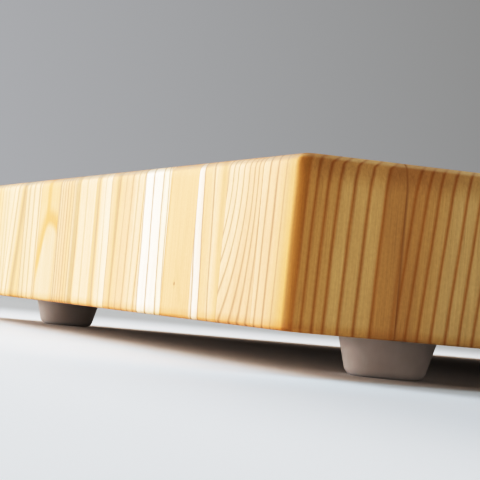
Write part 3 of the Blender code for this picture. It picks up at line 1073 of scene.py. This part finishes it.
def build_world():
    """A grey studio, brighter towards the front left and the right-hand side, and dim overhead."""
    world = bpy.data.worlds.new("studio")
    bpy.context.scene.world = world
    world.use_nodes = True
    tree = world.node_tree
    tree.nodes.clear()
    out = tree.nodes.new("ShaderNodeOutputWorld")
    back = tree.nodes.new("ShaderNodeBackground")
    tree.links.new(back.outputs[0], out.inputs[0])
    coord = tree.nodes.new("ShaderNodeTexCoord")
    dot = tree.nodes.new("ShaderNodeVectorMath")
    dot.operation = "DOT_PRODUCT"
    dot.inputs[1].default_value = (-0.60, -0.80, -0.30)
    tree.links.new(coord.outputs["Generated"], dot.inputs[0])
    ramp = tree.nodes.new("ShaderNodeMapRange")
    ramp.inputs["From Min"].default_value = 0.0
    ramp.inputs["From Max"].default_value = 1.0
    tree.links.new(dot.outputs["Value"], ramp.inputs["Value"])
    mix = tree.nodes.new("ShaderNodeMix")
    mix.data_type = "RGBA"
    tree.links.new(ramp.outputs[0], mix.inputs[0])
    mix.inputs[6].default_value = (0.236, 0.233, 0.225, 1.0)
    mix.inputs[7].default_value = (0.622, 0.640, 0.688, 1.0)
    side = tree.nodes.new("ShaderNodeSeparateXYZ")
    tree.links.new(coord.outputs["Generated"], side.inputs[0])
    warm = tree.nodes.new("ShaderNodeMapRange")
    tree.links.new(side.outputs[0], warm.inputs["Value"])
    band = tree.nodes.new("ShaderNodeMapRange")
    band.interpolation_type = "SMOOTHSTEP"
    for name, value in (("From Min", 0.02), ("From Max", 0.16), ("To Min", 1.0), ("To Max", 0.42)):
        band.inputs[name].default_value = value
    tree.links.new(side.outputs[2], band.inputs["Value"])
    glow = tree.nodes.new("ShaderNodeMath")
    glow.operation = "MULTIPLY"
    tree.links.new(warm.outputs[0], glow.inputs[0])
    tree.links.new(band.outputs[0], glow.inputs[1])
    low = tree.nodes.new("ShaderNodeMapRange")
    low.interpolation_type = "SMOOTHSTEP"
    for name, value in (("From Min", 0.15), ("From Max", 0.75), ("To Min", 1.0), ("To Max", 0.25)):
        low.inputs[name].default_value = value
    tree.links.new(side.outputs[2], low.inputs["Value"])
    add = tree.nodes.new("ShaderNodeMix")
    add.data_type = "RGBA"
    add.blend_type = "ADD"
    tree.links.new(glow.outputs[0], add.inputs[0])
    tree.links.new(mix.outputs[2], add.inputs[6])
    add.inputs[7].default_value = (1.68, 1.62, 1.55, 1.0)
    tree.links.new(add.outputs[2], back.inputs["Color"])
    tree.links.new(low.outputs[0], back.inputs["Strength"])


def soft_light(name, place, aim, size, power, colour):
    light = bpy.data.lights.new(name, "AREA")
    light.shape = "RECTANGLE"
    light.size, light.size_y = size
    light.energy = power
    light.color = colour
    made = bpy.data.objects.new(name, light)
    bpy.context.scene.collection.objects.link(made)
    made.location = place
    made.rotation_mode = "QUATERNION"
    made.rotation_quaternion = (Vector(aim) - Vector(place)).to_track_quat("-Z", "Y")
    return made


def build_lights():
    target = (0.0, -0.15, 0.03)
    soft_light("key_softbox", (-1.838, -1.748, 0.78), target, (1.25, 1.40), 92.0, (1.0, 0.995, 0.985))
    soft_light("low_softbox", (-0.90, -1.70, 0.10), (0.0, -0.15, 0.02), (1.0, 0.18), 7.5, (1.0, 1.0, 1.0))
    soft_light("overhead_softbox", (-0.90, -0.60, 1.40), (0.0, -0.15, 0.0), (1.4, 1.4), 11.5, (0.96, 0.985, 1.0))
    soft_light("back_softbox", (0.30, 0.55, 1.50), (0.1, -0.10, 0.03), (0.9, 0.9), 7.5, (1.0, 0.98, 0.95))


def build_camera():
    yaw, pitch, roll = math.radians(19.498), math.radians(1.7543), math.radians(5.2933)
    ahead = Vector((-math.cos(pitch) * math.cos(yaw), math.cos(pitch) * math.sin(yaw), math.sin(pitch)))
    right = Vector((math.sin(yaw), math.cos(yaw), 0.0))
    up = Vector((math.sin(pitch) * math.cos(yaw), -math.sin(pitch) * math.sin(yaw), math.cos(pitch)))
    r = math.cos(roll) * right + math.sin(roll) * up
    u = -math.sin(roll) * right + math.cos(roll) * up
    data = bpy.data.cameras.new("camera")
    data.sensor_width = 36.0
    data.lens = 150.0
    data.clip_start, data.clip_end = 0.01, 50.0
    made = bpy.data.objects.new("camera", data)
    bpy.context.scene.collection.objects.link(made)
    matrix = Matrix((r, u, -ahead)).transposed().to_4x4()
    matrix.translation = (0.614136, -0.309931, 0.015612)
    made.matrix_world = matrix
    bpy.context.scene.camera = made


def build_tones():
    """A camera's response: deep shadows and a soft shoulder in the highlights."""
    view = bpy.context.scene.view_settings
    view.view_transform = "Standard"
    view.use_curve_mapping = True
    reach = 2.0
    response = view.curve_mapping
    response.white_level = (reach, reach, reach)
    response.use_clip = False
    points = response.curves[3].points
    shape = (
        (0.0, 0.0),
        (0.05, 0.022),
        (0.10, 0.054),
        (0.2275, 0.19),
        (0.377, 0.395),
        (0.55, 0.585),
        (0.75, 0.745),
        (1.0, 0.865),
        (1.3, 0.945),
        (1.6, 0.985),
        (2.0, 1.0),
    )
    while len(points) < len(shape):
        points.new(1.0, 1.0)
    for point, (light, shown) in zip(points, shape):
        point.location = (light / reach, shown)
    response.update()


build_camera()
build_world()
build_lights()
build_floor()
build_blocks()
build_feet()
build_tones()

bpy.context.view_layer.update()
